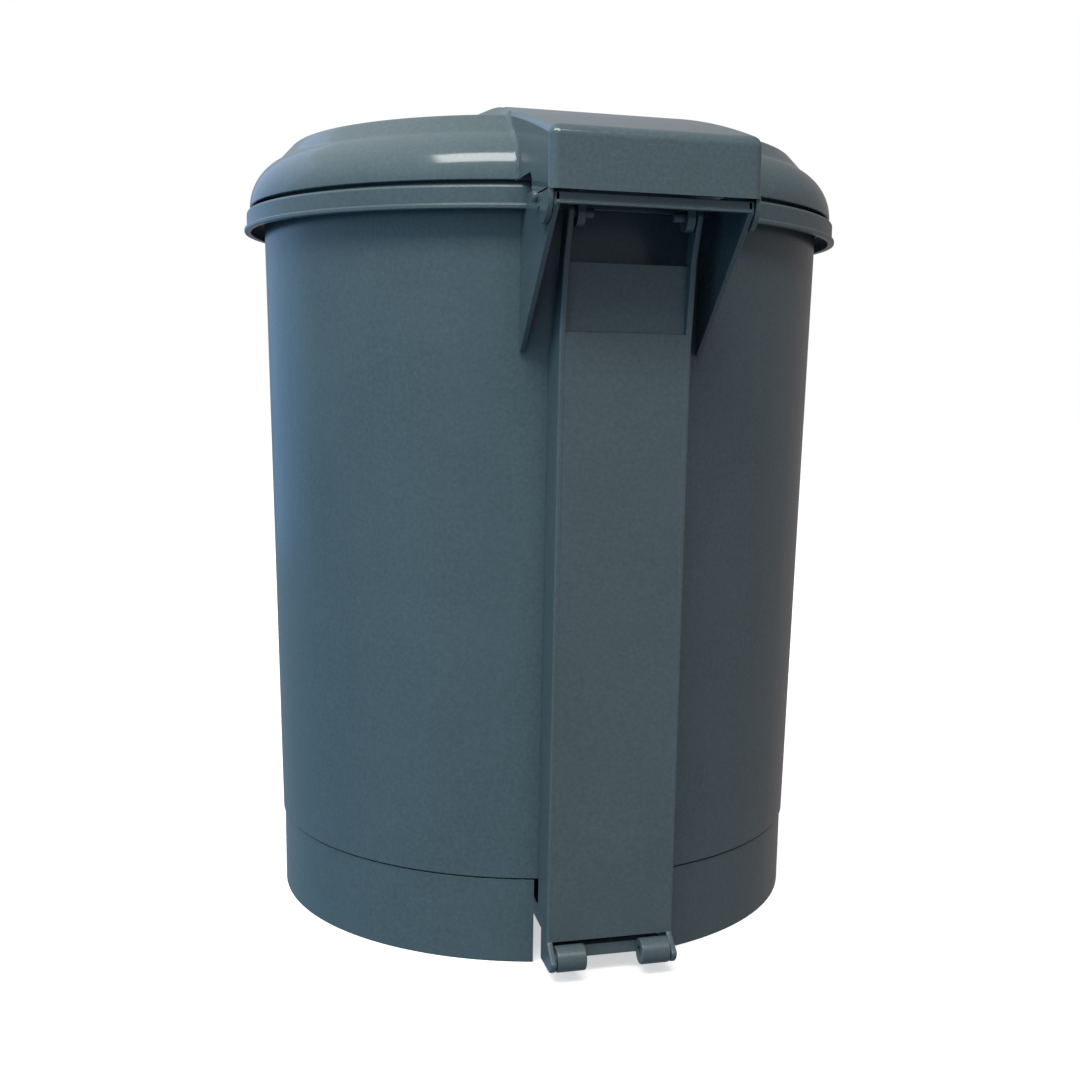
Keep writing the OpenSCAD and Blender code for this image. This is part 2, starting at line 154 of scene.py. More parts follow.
# Lift strap
STRAP_HALF = high("lift_strap").x
STRAP_T = 3.2
ARM_IN = STRAP_HALF - 3.6
WEB_TOP = RIM_TOP - 81
PANEL_H = 38
PANEL_SET = 2.5
STRAP_GAP = 1.6
LIFT_BACK = 14
LIFT_DROP = 5.5
LIFT = HINGE - Vector((0, LIFT_BACK, LIFT_DROP))
LIFT_PIN_R = 2.8
LIFT_PIN_IN = 22.6
ARM_R = 6.6
DISC_R = FOOT.z - low("lift_strap").z
PEG_R = 3.5
PEG_IN = 24
STRAP_LOW = FOOT.z + 8.6
STRAP_REAR = FOOT.y - 4

# Rear bracket
BRACKET_HALF = 54.6
GUSSET_T = 3.2
GUSSET_DROP = 92
GUSSET_TOP = HINGE.z + 6.5
STUD_R = 3
STUD_PROUD = 2.6
STUD_ROUND = 1.6
BAR_Y = high("bin_body").y
BAR_H = 6
BAR_T = 4
BEAD_H = 1.2
BEAD_OUT = 0.6

# Pedal lever
PEDAL_TOP = high("pedal_lever").z
PEDAL_HALF = high("pedal_lever").x
PEDAL_FRONT = low("pedal_lever").y
PEDAL_T = 4
PEDAL_LIP = 8
PEDAL_ROUND = 12
LEVER_HALF = 30
LEVER_GAP = 4
HUB_R = 8
KNUCKLE_R = FOOT.z - low("pedal_lever").z
KNUCKLE_IN = 16.8


def body_r(z):
    """Outer radius of the bucket at a height."""
    return RIM_R - RIM_REACH - DRAFT * (RIM_TOP - z)


def body_y(z, x):
    """Distance of the bucket's surface behind the axis at a height and half width."""
    return math.sqrt(body_r(z) ** 2 - x * x)


RING_R = body_r(RING_H) - RING_INSET
PEDAL_REAR = -RING_R - 6


def roof_z(y):
    """Height of the hood's roof."""
    middle = (HOOD_Y + RIDGE_Y) / 2
    crown = ROOF_CROWN * (1 - ((y - middle) / (HOOD_Y - middle)) ** 2)
    return HOOD_LOW + HOOD_FACE + (HOOD_Y - y) * HOOD_SLOPE + crown


def strap_y(z):
    """Rear face of the strap's web."""
    return STRAP_REAR + DRAFT * (z - STRAP_LOW)


def arc(y, z, r, start, end, steps):
    """Points on an arc about (y, z), angles in degrees."""
    turn = [math.radians(start + (end - start) * k / steps) for k in range(steps + 1)]
    return [(y + r * math.cos(a), z + r * math.sin(a)) for a in turn]


# ---------------------------------------------------------------- solids as (points, faces)

def turned(profile, steps=300):
    """Solid of revolution about Z of a closed (radius, height) profile. Radius 0 is a pole."""
    points, rings, faces = [], [], []
    for r, z in profile:
        if r < TINY:
            rings.append([len(points)] * steps)
            points.append((0, 0, z))
            continue
        rings.append(list(range(len(points), len(points) + steps)))
        for k in range(steps):
            a = 2 * math.pi * k / steps
            points.append((r * math.sin(a), r * math.cos(a), z))
    for lower, upper in zip(rings, rings[1:] + rings[:1]):
        for k in range(steps):
            n = (k + 1) % steps
            loop = list(dict.fromkeys((lower[k], upper[k], upper[n], lower[n])))
            if len(loop) > 2:
                faces.append(loop)
    return points, faces


def slab(outline, start, end, axis="x"):
    """Straight solid of a closed outline: (y, z) points along X, or (x, y) points along Z."""
    count = len(outline)
    ends = []
    for place in (start, end):
        ends += [(place, a, b) if axis == "x" else (a, b, place) for a, b in outline]
    sides = [(k, (k + 1) % count, (k + 1) % count + count, k + count) for k in range(count)]
    return ends, sides + [tuple(reversed(range(count))), tuple(range(count, 2 * count))]


def rod(x0, x1, y, z, r, end_round=0.5, steps=48):
    """Round pin along X with rounded ends."""
    e = min(end_round, r)
    profile = [(0, x0)] + [(r - e + e * math.sin(a), x0 + e - e * math.cos(a))
                           for a in (math.pi / 2 * k / 5 for k in range(6))]
    profile += [(r - e + e * math.cos(a), x1 - e + e * math.sin(a))
                for a in (math.pi / 2 * k / 5 for k in range(6))] + [(0, x1)]
    if r - e < TINY:
        profile = profile[1:-1]
    points, faces = turned(profile, steps)
    return [(p[2], y + p[0], z + p[1]) for p in points], faces


def mirrored(solid):
    """The same solid on the other side of the middle plane."""
    points, faces = solid
    return [(-x, y, z) for x, y, z in points], [tuple(reversed(f)) for f in faces]


def both(*solids):
    """Each solid and its mirror image."""
    return [s for solid in solids for s in (solid, mirrored(solid))]


def mesh_of(name, solids):
    """One Blender mesh of several solids. Their faces are turned outwards afterwards, by outward."""
    points, faces = [], []
    for solid_points, solid_faces in solids:
        faces += [[v + len(points) for v in f] for f in solid_faces]
        points += [Vector(p) * MM for p in solid_points]
    mesh = bpy.data.meshes.new(name)
    mesh.from_pydata(points, [], faces)
    mesh.validate()
    return mesh


def outward(mesh):
    """Turns every closed island's faces outwards."""
    work = bmesh.new()
    work.from_mesh(mesh)
    bmesh.ops.recalc_face_normals(work, faces=work.faces)
    work.to_mesh(mesh)
    work.free()


def carved(name, adds, cuts):
    """Union of the adds less the cuts, as one mesh."""
    collection = bpy.context.scene.collection
    helpers = []
    for k, solid in enumerate(adds + cuts):
        mesh = mesh_of(f"{name}_tool_{k}", [solid])
        outward(mesh)
        helper = bpy.data.objects.new(mesh.name, mesh)
        collection.objects.link(helper)
        helpers.append(helper)
    base = helpers[0]
    for k, helper in enumerate(helpers[1:], 1):
        step = base.modifiers.new("step", "BOOLEAN")
        step.operation = "UNION" if k < len(adds) else "DIFFERENCE"
        step.solver = "MANIFOLD"
        step.object = helper
    graph = bpy.context.evaluated_depsgraph_get()
    mesh = bpy.data.meshes.new_from_object(base.evaluated_get(graph))
    mesh.name = name
    if not mesh.polygons:
        raise RuntimeError(f"{name} came out empty")
    for helper in helpers:
        old = helper.data
        bpy.data.objects.remove(helper)
        bpy.data.meshes.remove(old)
    return mesh


def piece(name, mesh, body, finish, stands_for, edge=0.0, crease=32):
    """Links a mesh as a piece that rides on a CAD body, with soft moulded edges."""
    outward(mesh)
    mesh.polygons.foreach_set("use_smooth", [True] * len(mesh.polygons))
    mesh.set_sharp_from_angle(angle=math.radians(crease))
    mesh.materials.clear()
    mesh.materials.append(finish)
    made = bpy.data.objects.new(name, mesh)
    bpy.context.scene.collection.objects.link(made)
    if edge:
        soft = made.modifiers.new("soft_edges", "BEVEL")
        soft.width = edge * bpy.context.scene.bin_sizes.edge_softness * MM
        soft.segments = 3
        soft.limit_method = "ANGLE"
        soft.angle_limit = math.radians(crease)
        soft.use_clamp_overlap = True
        soft.miter_outer = "MITER_ARC"
    even = made.modifiers.new("even_shading", "WEIGHTED_NORMAL")
    even.keep_sharp = True
    even.weight = 50
    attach(made, body)
    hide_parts(*stands_for)


# ---------------------------------------------------------------- finishes

def linear(code):
    """Linear colour of an sRGB hex code."""
    parts = [int(code[k:k + 2], 16) / 255 for k in (1, 3, 5)]
    return tuple(c / 12.92 if c <= 0.04045 else ((c + 0.055) / 1.055) ** 2.4 for c in parts)


def node(tree, kind, settings=None, links=None):
    """Adds a node. Settings name its properties or input sockets, links map inputs to outputs."""
    made = tree.nodes.new(kind)
    for key, value in (settings or {}).items():
        if isinstance(key, str) and key[0].islower():
            setattr(made, key, value)
        else:
            made.inputs[key].default_value = value
    for key, output in (links or {}).items():
        tree.links.new(output, made.inputs[key])
    return made


def new_material(name):
    """An empty node material: its tree, its shader and the piece's own coordinates in metres."""
    material = bpy.data.materials.new(name)
    material.use_nodes = True
    tree = material.node_tree
    tree.nodes.clear()
    shader = node(tree, "ShaderNodeBsdfPrincipled")
    node(tree, "ShaderNodeOutputMaterial", links={"Surface": shader.outputs[0]})
    place = node(tree, "ShaderNodeTexCoord").outputs["Object"]
    return material, tree, shader, place


def per_mm(size):
    """Texture scale, in cycles per metre, of features that many millimetres across."""
    return 1 / (size * MM)


def moulded_plastic(name, colour, roughness, grain_depth, scuffs):
    """Injection-moulded polypropylene, coloured right through. The mould's eroded face leaves
    a fine grain, the melt leaves broad cloudy flow marks, and handling leaves pale scuffs.
    The grain's depth is in millimetres."""
    material, tree, shader, place = new_material(name)
    # Flow marks 60 mm across: the pigment runs a little lighter and darker with the melt
    cloud = node(tree, "ShaderNodeTexNoise", {"Scale": per_mm(60), "Detail": 3, "Roughness": 0.55},
                 {"Vector": place}).outputs["Fac"]
    tone = node(tree, "ShaderNodeMapRange",
                {"From Min": 0.3, "From Max": 0.7, "To Min": 0.95, "To Max": 1.05},
                {"Value": cloud})
    # Pigment speckle, drawn at 2.2 mm so that it shows from a metre away
    speck = node(tree, "ShaderNodeTexNoise", {"Scale": per_mm(2.2), "Detail": 1},
                 {"Vector": place})
    fleck = node(tree, "ShaderNodeMapRange",
                 {"From Min": 0.25, "From Max": 0.75, "To Min": 0.9, "To Max": 1.1},
                 {"Value": speck.outputs["Fac"]})
    shade = node(tree, "ShaderNodeMath", {"operation": "MULTIPLY"},
                 {0: tone.outputs[0], 1: fleck.outputs[0]})
    paint = node(tree, "ShaderNodeVectorMath", {"operation": "SCALE", 0: tuple(colour)},
                 {"Scale": shade.outputs[0]})
    # Scuffs: thin pale lines about 14 mm long, in sparse patches 45 mm across
    turn = node(tree, "ShaderNodeMapping",
                {"Rotation": (0.5, 0.9, 0.4), "Scale": (per_mm(14), per_mm(0.8), per_mm(0.8))},
                {"Vector": place})
    line = node(tree, "ShaderNodeTexNoise", {"Scale": 1, "Detail": 2}, {"Vector": turn.outputs[0]})
    thin = node(tree, "ShaderNodeMapRange", {"From Min": 0.68, "From Max": 0.78},
                {"Value": line.outputs["Fac"]})
    patch = node(tree, "ShaderNodeTexNoise", {"Scale": per_mm(45), "Detail": 1}, {"Vector": place})
    rare = node(tree, "ShaderNodeMapRange",
                {"From Min": 0.58, "From Max": 0.72, "To Max": scuffs},
                {"Value": patch.outputs["Fac"]})
    scuff = node(tree, "ShaderNodeMath", {"operation": "MULTIPLY"},
                 {0: thin.outputs[0], 1: rare.outputs[0]})
    worn = node(tree, "ShaderNodeMix", {"data_type": "RGBA", 7: (*linear("#9fb0b4"), 1)},
                {0: scuff.outputs[0], 6: paint.outputs[0]})
    # The flow marks also change how sharply the surface mirrors its surroundings
    sheen = node(tree, "ShaderNodeMapRange",
                 {"From Min": 0.3, "From Max": 0.7, "To Min": roughness - 0.03,
                  "To Max": roughness + 0.03},
                 {"Value": cloud})
    # Sink marks 80 mm across bend the reflections a little, as thick mouldings do
    warp = node(tree, "ShaderNodeTexNoise", {"Scale": per_mm(80), "Detail": 0}, {"Vector": place})
    wave = node(tree, "ShaderNodeBump", {"Strength": 0.3, "Distance": 0.8 * MM},
                {"Height": warp.outputs["Fac"]})
    # The eroded mould's grain is finer than this, and is drawn at 2.4 mm so that it shows
    grain = node(tree, "ShaderNodeTexNoise", {"Scale": per_mm(2.4), "Detail": 1, "Roughness": 0.4},
                 {"Vector": place})
    relief = node(tree, "ShaderNodeBump", {"Strength": 0.6, "Distance": grain_depth * MM},
                  {"Height": grain.outputs["Fac"], "Normal": wave.outputs[0]})
    # Polypropylene's own refractive index
    shader.inputs["IOR"].default_value = 1.49
    tree.links.new(worn.outputs[2], shader.inputs["Base Color"])
    tree.links.new(sheen.outputs[0], shader.inputs["Roughness"])
    tree.links.new(relief.outputs[0], shader.inputs["Normal"])
    return material


def drawn_steel(name, colour):
    """Zinc-plated steel, drawn: fine lines along the draw, zinc crystals and a soft sheen."""
    material, tree, shader, place = new_material(name)
    # Draw lines 0.4 mm apart and 12 mm long
    along = node(tree, "ShaderNodeMapping", {"Scale": (per_mm(12), per_mm(0.4), per_mm(0.4))},
                 {"Vector": place})
    lines = node(tree, "ShaderNodeTexNoise", {"Scale": 1, "Detail": 3},
                 {"Vector": along.outputs[0]}).outputs["Fac"]
    rough = node(tree, "ShaderNodeMapRange", {"To Min": 0.22, "To Max": 0.42}, {"Value": lines})
    # Zinc crystals 4 mm across
    spangle = node(tree, "ShaderNodeTexVoronoi", {"Scale": per_mm(4)}, {"Vector": place})
    tint = node(tree, "ShaderNodeMapRange", {"To Min": 0.88, "To Max": 1.06},
                {"Value": spangle.outputs["Distance"]})
    plate = node(tree, "ShaderNodeVectorMath", {"operation": "SCALE", 0: tuple(colour)},
                 {"Scale": tint.outputs[0]})
    relief = node(tree, "ShaderNodeBump", {"Strength": 0.3, "Distance": 0.03 * MM},
                  {"Height": lines})
    shader.inputs["Metallic"].default_value = 1
    tree.links.new(plate.outputs[0], shader.inputs["Base Color"])
    tree.links.new(rough.outputs[0], shader.inputs["Roughness"])
    tree.links.new(relief.outputs[0], shader.inputs["Normal"])
    return material


FINISHES = {}


def finish(name):
    """The named finish, made once."""
    colours = bpy.context.scene.bin_colours
    if name not in FINISHES:
        if name == "steel":
            # Bright grey metal, for the rod, its clips and the screws
            made = drawn_steel("steel_drawn_zinc_plated", colours.steel)
        elif name == "lid":
            # A polished mould gives the lid sharp highlights
            made = moulded_plastic("polypropylene_moulded_polished", colours.lid, 0.11, 0.012, 0.35)
        elif name == "linkage":
            # A finely eroded mould gives the strap and lever a dull sheen
            made = moulded_plastic("polypropylene_moulded_fine", colours.linkage, 0.34, 0.045, 0.15)
        else:
            # A lightly eroded mould gives the bucket and ring a satin sheen
            made = moulded_plastic("polypropylene_moulded_satin", colours.body, 0.27, 0.05, 0.12)
        FINISHES[name] = made
    return FINISHES[name]


# ---------------------------------------------------------------- properties

class BinSizes(bpy.types.PropertyGroup):
    """Sizes a user may change."""
    edge_softness: FloatProperty(
        name="Edge softness", description="Share of its own radius that each moulded edge gets",
        default=1, min=0.1, max=1.2, subtype="FACTOR")
    hood_edge: FloatProperty(
        name="Hood edge", description="Radius of the hood's roof edges and rear corners",
        default=5 * MM, min=2 * MM, max=8 * MM, subtype="DISTANCE", unit="LENGTH", precision=4)
    hood_flare: FloatProperty(
        name="Hood flare", description="Width of the hood's flared foot at its front",
        default=20 * MM, min=4 * MM, max=24 * MM, subtype="DISTANCE", unit="LENGTH", precision=4)
    hood_foot: FloatProperty(
        name="Hood foot", description="Width of the fillet where the hood meets the lid",
        default=2.2 * MM, min=1 * MM, max=4 * MM, subtype="DISTANCE", unit="LENGTH", precision=4)


class BinColours(bpy.types.PropertyGroup):
    """Colours a user may change."""
    body: FloatVectorProperty(
        name="Body colour", description="Colour of the bucket and the base ring",
        default=linear("#47565a"), min=0, max=1, subtype="COLOR")
    lid: FloatVectorProperty(
        name="Lid colour", description="Colour of the lid and its hood",
        default=linear("#4c5b5f"), min=0, max=1, subtype="COLOR")
    linkage: FloatVectorProperty(
        name="Linkage colour", description="Colour of the strap and the pedal lever",
        default=linear("#4a575b"), min=0, max=1, subtype="COLOR")
    steel: FloatVectorProperty(
        name="Steel colour", description="Colour of the rod, its clips and the screws",
        default=linear("#b9bcc0"), min=0, max=1, subtype="COLOR")


class StudioSettings(bpy.types.PropertyGroup):
    """Light and floor of the studio."""
    floor_colour: FloatVectorProperty(
        name="Floor colour", description="Colour of the floor", default=linear("#f2f2f1"),
        min=0, max=1, subtype="COLOR")
    floor_glow: FloatProperty(
        name="Floor glow", description="Light the floor gives by itself, to hide the horizon",
        default=0.55, min=0, max=1)
    key_power: FloatProperty(
        name="Key light", description="Power of the large light above and behind the bin",
        default=118, min=0, max=400, unit="POWER")
    key_colour: FloatVectorProperty(
        name="Key colour", description="Colour of the large light",
        default=linear("#fffdfb"), min=0, max=1, subtype="COLOR")
    side_power: FloatProperty(
        name="Side light", description="Power of the cool light on the bin's left",
        default=9, min=0, max=400, unit="POWER")
    side_colour: FloatVectorProperty(
        name="Side colour", description="Colour of the cool light",
        default=linear("#6ba3ea"), min=0, max=1, subtype="COLOR")


# ---------------------------------------------------------------- operators

def bucket_profile():
    """Section of the bucket's wall, rim band, lip and floor."""
    rim_low = RIM_TOP - RIM_BAND
    wall_low = RING_H + SEAM
    foot = body_r(wall_low)
    mouth = body_r(RIM_TOP) - BUCKET_WALL
    neck = body_r(RIM_TOP - 5)
    return (
        [(0, FLOOR_Z), (body_r(FLOOR_Z) - BUCKET_WALL, FLOOR_Z), (foot - BUCKET_WALL, wall_low),
         (foot - 0.5, wall_low), (foot, wall_low + 0.5)]
        + [(body_r(z), z) for z in (wall_low + 120, wall_low + 240, RIM_TOP - 30)]
        + [(neck, RIM_TOP - 5)]
        + arc(neck + 2.4, RIM_TOP - BUCKET_WALL - 2.4, 2.4, 180, 90, 5)
        + arc(RIM_R - BUCKET_WALL - 1, RIM_TOP - BUCKET_WALL - 1, 1, 90, 0, 4)
        + arc(RIM_R - BUCKET_WALL + 0.4, rim_low + 0.4, 0.4, 180, 270, 3)
        + arc(RIM_R + LIP_OUT - 0.7, rim_low + 0.7, 0.7, 270, 360, 4)
        + arc(RIM_R + LIP_OUT - 0.9, rim_low + LIP_H - 0.9, 0.9, 0, 80, 4)
        + arc(RIM_R + 0.5, rim_low + LIP_H + 0.5, 0.5, 260, 180, 3)
        + arc(RIM_R - 2, RIM_TOP - 2, 2, 0, 90, 6)
        + arc(mouth + 1, RIM_TOP - 1, 1, 90, 180, 4)
        + arc(body_r(FLOOR_Z) - BUCKET_WALL - 3, FLOOR_Z + FLOOR_T + 3, 3, 0, -90, 5)
        + [(0, FLOOR_Z + FLOOR_T)]
    )


class BIN_OT_bucket(bpy.types.Operator):
    """Makes the bucket's shell, its rim and the bosses under its floor"""
    bl_idname = "pedal_bin.bucket"
    bl_label = "Bucket"
    bl_options = {"REGISTER", "UNDO"}

    def execute(self, context):
        bosses = []
        for quarter in (45, 135, 225, 315):
            a = math.radians(quarter)
            profile = [(PILOT_R, SHELF_TOP), (BOSS_R - 0.5, SHELF_TOP), (BOSS_R, SHELF_TOP + 0.5),
                       (BOSS_R, FLOOR_Z + 1), (PILOT_R, FLOOR_Z + 1)]
            points, faces = turned(profile, 40)
            bosses.append(([(x + BOSS_CIRCLE * math.cos(a), y + BOSS_CIRCLE * math.sin(a), z)
                            for x, y, z in points], faces))
        piece("bucket_shell", mesh_of("bucket_shell", [turned(bucket_profile()), *bosses]),
              "bin", finish("body"), ["bin_body"])
        return {"FINISHED"}


class BIN_OT_bracket(bpy.types.Operator):
    """Makes the rear bracket: two gussets, the cross bar and the hinge studs"""
    bl_idname = "pedal_bin.bracket"
    bl_label = "Rear bracket"
    bl_options = {"REGISTER", "UNDO"}

    def execute(self, context):
        tip = RIM_TOP - GUSSET_DROP
        bar_top = HINGE.z
        bar_low = bar_top - BAR_H
        rim_low = RIM_TOP - RIM_BAND
        outline = [
            (body_y(tip, BRACKET_HALF) - 1, tip), (body_y(tip, BRACKET_HALF) + 3, tip),
            (BAR_Y, bar_low - 0.5), (BAR_Y, bar_top), (HINGE.y + 9, GUSSET_TOP),
            (RIM_R - 6, GUSSET_TOP), (RIM_R - 6, rim_low),
            (body_y(rim_low, BRACKET_HALF) - 1, rim_low)]
        core = body_r(RIM_TOP) - BUCKET_WALL + 1
        bore = turned([(0, 0), (core, 0), (core, 2 * RIM_TOP), (0, 2 * RIM_TOP)])
        for side, name in ((1, "left"), (-1, "right")):
            plate = slab(outline, side * (BRACKET_HALF - GUSSET_T), side * BRACKET_HALF)
            piece(f"gusset_{name}", carved("gusset", [plate], [bore]),
                  "bin", finish("body"), ["bin_body"], edge=0.7)
        # A small bead runs along the bar's lower edge
        bar = [(BAR_Y - BAR_T, bar_low), (BAR_Y + BEAD_OUT, bar_low),
               (BAR_Y + BEAD_OUT, bar_low + BEAD_H), (BAR_Y, bar_low + BEAD_H + 0.4),
               (BAR_Y, bar_top), (BAR_Y - BAR_T, bar_top)]
        piece("cross_bar", mesh_of("cross_bar", [slab(bar, -BRACKET_HALF + 1, BRACKET_HALF - 1)]),
              "bin", finish("body"), ["bin_body"], edge=0.35)
        stud = rod(BRACKET_HALF - 1, HOOD_HALF + STUD_PROUD, HINGE.y, HINGE.z, STUD_R,
                   STUD_ROUND)
        piece("hinge_studs", mesh_of("hinge_studs", both(stud)),
              "bin", finish("body"), ["bin_body"])
        return {"FINISHED"}


class BIN_OT_base_ring(bpy.types.Operator):
    """Makes the base ring with its shelf, its channel and the slots for strap and lever"""
    bl_idname = "pedal_bin.base_ring"
    bl_label = "Base ring"
    bl_options = {"REGISTER", "UNDO"}

    def execute(self, context):
        wall = turned(
            arc(RING_R - RING_WALL + 0.4, 0.4, 0.4, 180, 270, 3) + arc(RING_R - 1, 1, 1, 270, 360, 5)
            + arc(RING_R, RING_H - 0.6, 0.6, 0, 90, 4) + [(RING_R + 0.6 - RING_WALL, RING_H)])
        shelf_out = RING_R - RING_WALL + 1
        shelf = turned([(SHELF_IN, SHELF_LOW), (shelf_out, SHELF_LOW), (shelf_out, SHELF_TOP),
                        (SHELF_IN, SHELF_TOP)])
        collar_r = body_r(FLOOR_Z) - BUCKET_WALL - 0.6
        collar = turned([(collar_r - COLLAR_T, RING_H - 4), (collar_r, RING_H - 4),
                         (collar_r, FLOOR_Z), (collar_r - COLLAR_T, FLOOR_Z)])
        rib_out = CHANNEL_HALF + RIB_T
        half = math.sqrt((RING_R - 2) ** 2 - rib_out ** 2)
        rib = slab([(-half, RIB_LOW), (half, RIB_LOW), (half, SHELF_TOP), (-half, SHELF_TOP)],
                   CHANNEL_HALF, rib_out)
        slot_half = STRAP_HALF + STRAP_GAP
        rear = slab([(0, -1), (2 * RING_R, -1), (2 * RING_R, FLOOR_Z + 2), (0, FLOOR_Z + 2)],
                    -slot_half, slot_half)
        front_top = RING_H - 5
        front = slab([(-2 * RING_R, -1), (0, -1), (0, front_top), (-2 * RING_R, front_top)],
                     -LEVER_HALF - LEVER_GAP, LEVER_HALF + LEVER_GAP)
        inside = RING_R - 8
        channel_top = SHELF_TOP + 1
        channel = slab([(-inside, -2), (inside, -2), (inside, channel_top), (-inside, channel_top)],
                       -CHANNEL_HALF, CHANNEL_HALF)
        bore = rod(-CHANNEL_HALF - 9, CHANNEL_HALF + 9, FULCRUM.y, FULCRUM.z, ROD_R + PLAY, 0.1)
        mesh = carved("base_ring_shell", [wall, shelf, collar, *both(rib)],
                      [rear, front, channel, bore])
        piece("base_ring_shell", mesh, "bin", finish("body"), ["base_ring"],
              edge=0.5)
        return {"FINISHED"}


def lid_section(t, steps=28):
    """Outer half section of the lid from its edge to its top, drawn t inside the surface."""
    dome_r = (TIER_R ** 2 + DOME_RISE ** 2) / (2 * DOME_RISE)
    crease = math.degrees(math.acos((CREASE_R - 0.45 * t - SHOULDER_Y) / (SHOULDER_R - t)))
    flat = TIER_R - TIER_ROUND - 1
    section = arc(SHOULDER_Y, SHOULDER_Z, SHOULDER_R - t, 0, crease, steps)
    tier = arc(TIER_R - TIER_ROUND, TIER_EDGE_Z - TIER_ROUND, TIER_ROUND - t, 40, 78, 8)
    # The crease at the tier's foot is softened with a small concave round
    (y0, z0), (y1, z1), (y2, z2) = section[-2], section[-1], tier[0]
    ease = min(0.3, 3.2 / math.hypot(y2 - y1, z2 - z1))
    ya, za = y1 + (y0 - y1) * 0.9, z1 + (z0 - z1) * 0.9
    yb, zb = y1 + (y2 - y1) * ease, z1 + (z2 - z1) * ease
    section = section[:-1]
    for k in range(1, 6):
        u = k / 6
        section.append(((1 - u) ** 2 * ya + 2 * u * (1 - u) * y1 + u * u * yb,
                        (1 - u) ** 2 * za + 2 * u * (1 - u) * z1 + u * u * zb))
    section.append((yb, zb))
    rise = TIER_EDGE_Z + DOME_RISE - dome_r
    dome = [flat * (1 - k / 24) for k in range(1, 25)]
    return section + tier + [(r, rise + math.sqrt((dome_r - t) ** 2 - r * r)) for r in dome]


LID_OUTSIDE = lid_section(0)


def lid_z(r):
    """Height of the lid's outer surface at a radius."""
    for (r0, z0), (r1, z1) in zip(LID_OUTSIDE, LID_OUTSIDE[1:]):
        if r1 <= r <= r0:
            return z0 + (z1 - z0) * (r0 - r) / max(r0 - r1, 1e-9)
    return LID_OUTSIDE[0][1]


class BIN_OT_lid(bpy.types.Operator):
    """Makes the two-tier lid and the rib on which it rests"""
    bl_idname = "pedal_bin.lid"
    bl_label = "Lid"
    bl_options = {"REGISTER", "UNDO"}

    def execute(self, context):
        edge = arc(LID_R - 0.9, LID_LOW + 0.9, 0.9, 270, 360, 4)
        shell = [(LID_R - LID_WALL, LID_LOW + 0.4), (LID_R - LID_WALL + 0.4, LID_LOW)] + edge
        shell += LID_OUTSIDE + lid_section(LID_WALL)[::-1]
        rib_top = SHOULDER_Z + math.sqrt((SHOULDER_R - 1.2) ** 2 - (REST_OUT - SHOULDER_Y) ** 2)
        rest = [(REST_IN, rib_top), (REST_IN, REST_LOW + 0.4), (REST_IN + 0.4, REST_LOW),
                (REST_OUT - 0.4, REST_LOW), (REST_OUT, REST_LOW + 0.4), (REST_OUT, rib_top)]
        piece("lid_shell", mesh_of("lid_shell", [turned(shell, 360), turned(rest, 360)]),
              "lid", finish("lid"), ["lid"])
        return {"FINISHED"}


def hood_roof(t):
    """Side outline of the hood's roof from its rear edge to its front foot, t inside."""
    reach = HOOD_Y - RIDGE_Y
    roof = [(HOOD_Y - reach * k / 10, roof_z(HOOD_Y - reach * k / 10) - t) for k in range(11)]
    roof[0] = (HOOD_Y - t, roof[0][1])
    return roof + [(HOOD_FRONT, TIER_EDGE_Z - t)]


def roof_top(y):
    """Height of the hood's roof, front slope included."""
    if y > RIDGE_Y:
        return roof_z(y)
    down = (RIDGE_Y - y) / (RIDGE_Y - HOOD_FRONT)
    return roof_z(RIDGE_Y) + (TIER_EDGE_Z - roof_z(RIDGE_Y)) * down


